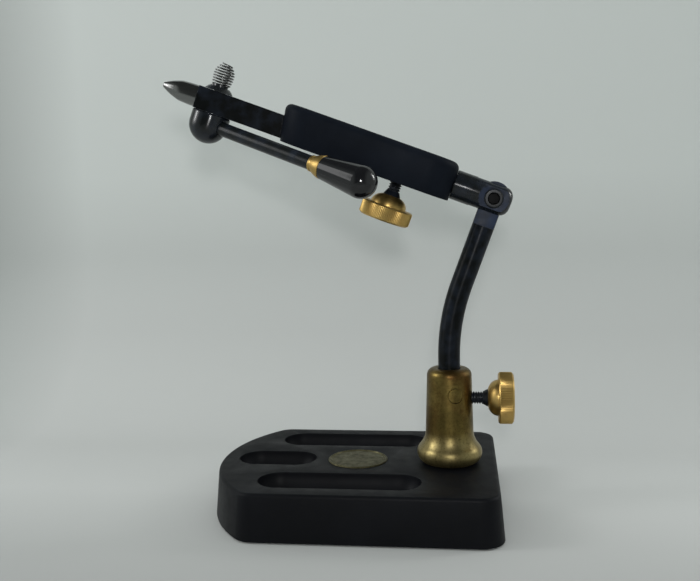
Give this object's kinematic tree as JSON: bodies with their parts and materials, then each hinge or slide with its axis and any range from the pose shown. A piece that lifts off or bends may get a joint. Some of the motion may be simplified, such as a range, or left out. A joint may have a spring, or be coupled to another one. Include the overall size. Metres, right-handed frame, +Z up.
{
  "type": "fly tying vise",
  "caption": "Fly tying vise: a rotary head with cam-closed jaws on a bent stem, clamped in a brass column on a heavy base with hook troughs.",
  "frame": {"origin": "middle of the underside of the non-slip pad, on the bench", "axes": "+Z up, -X the way the jaws point at rest, -Y towards the viewer; the stem's column stands at +X"},
  "size_m": [0.1506, 0.099, 0.1953],
  "materials": {
    "base_coat": "satin black powder coat on iron",
    "medallion": "dark cast bronze colour",
    "pad": "non-slip sheet",
    "plain_steel": "bright steel",
    "column_brass": "tarnished turned brass",
    "knob_brass": "turned and knurled brass",
    "black_steel": "satin black oxide",
    "gloss_steel": "polished and blued",
    "block_black": "satin black",
    "jaw_steel": "black oxide bars with a bright ground nose",
    "nylon": "natural nylon",
    "spring_steel": "bright spring wire",
    "handle_black": "gloss black"
  },
  "bodies": {
    "base": {"base_casting": "base_coat", "base_medallion": "medallion", "base_pad": "pad", "column_screw": "plain_steel", "stem_column": "column_brass"},
    "column_tip": {"column_clamp_tip": "knob_brass"},
    "column_knob": {"column_clamp_knob": "knob_brass", "column_clamp_stud": "black_steel"},
    "stem_pad": {"stem_end_pad": "nylon"},
    "stem": {"stem": "black_steel"},
    "fork": {"pivot_fork": "gloss_steel", "pivot_screw": "black_steel"},
    "head": {"head_block": "block_black", "jaw_dowels": "plain_steel", "jaw_heel_spring": "spring_steel"},
    "head_tip": {"head_lock_tip": "knob_brass"},
    "head_knob": {"head_lock_knob": "knob_brass", "head_lock_stud": "black_steel"},
    "jaw_left": {"jaw_left": "jaw_steel"},
    "jaw_right": {"jaw_right": "jaw_steel"},
    "lever": {"cam_shaft": "plain_steel", "cam_knuckle": "gloss_steel", "cam_cap": "gloss_steel", "material_spring": "spring_steel", "lever_rod": "gloss_steel", "lever_ferrule": "knob_brass", "lever_handle": "handle_black"}
  },
  "joints": [
    {"name": "column_clamp_slide", "type": "slide", "parent": "base", "child": "column_tip", "axis": [1, 0, 0], "range_m": [0, 0.00212]},
    {"name": "column_knob_turn", "type": "hinge", "parent": "column_tip", "child": "column_knob", "pos_m": [0.0573, 0, 0.0487], "axis": [1, 0, 0], "range_deg": [0, 720]},
    {"name": "stem_height", "type": "slide", "parent": "base", "child": "stem_pad", "axis": [0, 0, 1], "range_m": [-0.005, 0.009]},
    {"name": "stem_turn", "type": "hinge", "parent": "stem_pad", "child": "stem", "pos_m": [0.0407, 0, 0.0354], "axis": [0, 0, 1], "continuous": true},
    {"name": "head_tilt", "type": "hinge", "parent": "stem", "child": "fork", "pos_m": [0.05979, 0, 0.13491], "axis": [0, 1, 0], "range_deg": [-25, 70]},
    {"name": "head_spin", "type": "hinge", "parent": "fork", "child": "head", "pos_m": [0.02143, 0, 0.1494], "axis": [-0.9354, 0, 0.3535], "continuous": true},
    {"name": "head_lock_slide", "type": "slide", "parent": "head", "child": "head_tip", "axis": [-0.3535, 0, -0.9354], "range_m": [0, 0.00212]},
    {"name": "head_knob_turn", "type": "hinge", "parent": "head_tip", "child": "head_knob", "pos_m": [0.0167, 0, 0.13687], "axis": [-0.3535, 0, -0.9354], "range_deg": [0, 720]},
    {"name": "lever_swing", "type": "hinge", "parent": "head", "child": "lever", "pos_m": [-0.06279, 0, 0.16925], "axis": [-0.3535, 0, -0.9354], "range_deg": [0, 80]},
    {"name": "jaw_left_swing", "type": "hinge", "parent": "head", "child": "jaw_left", "pos_m": [-0.02306, -0.00245, 0.16461], "axis": [0.3535, 0, 0.9354], "range_deg": [0, 1.2], "deforming": ["jaw_heel_spring"]},
    {"name": "jaw_right_swing", "type": "hinge", "parent": "head", "child": "jaw_right", "pos_m": [-0.02306, 0.00245, 0.16461], "axis": [-0.3535, 0, -0.9354], "range_deg": [0, 1.2], "deforming": ["jaw_heel_spring"]}
  ],
  "couplings": [
    {"joint": "column_knob_turn", "follows": "column_clamp_slide", "rad_per_m": 5938.7},
    {"joint": "head_knob_turn", "follows": "head_lock_slide", "rad_per_m": 5938.7},
    {"joint": "jaw_left_swing", "follows": "lever_swing", "ratio": 0.014767},
    {"joint": "jaw_right_swing", "follows": "lever_swing", "ratio": 0.014767}
  ]
}
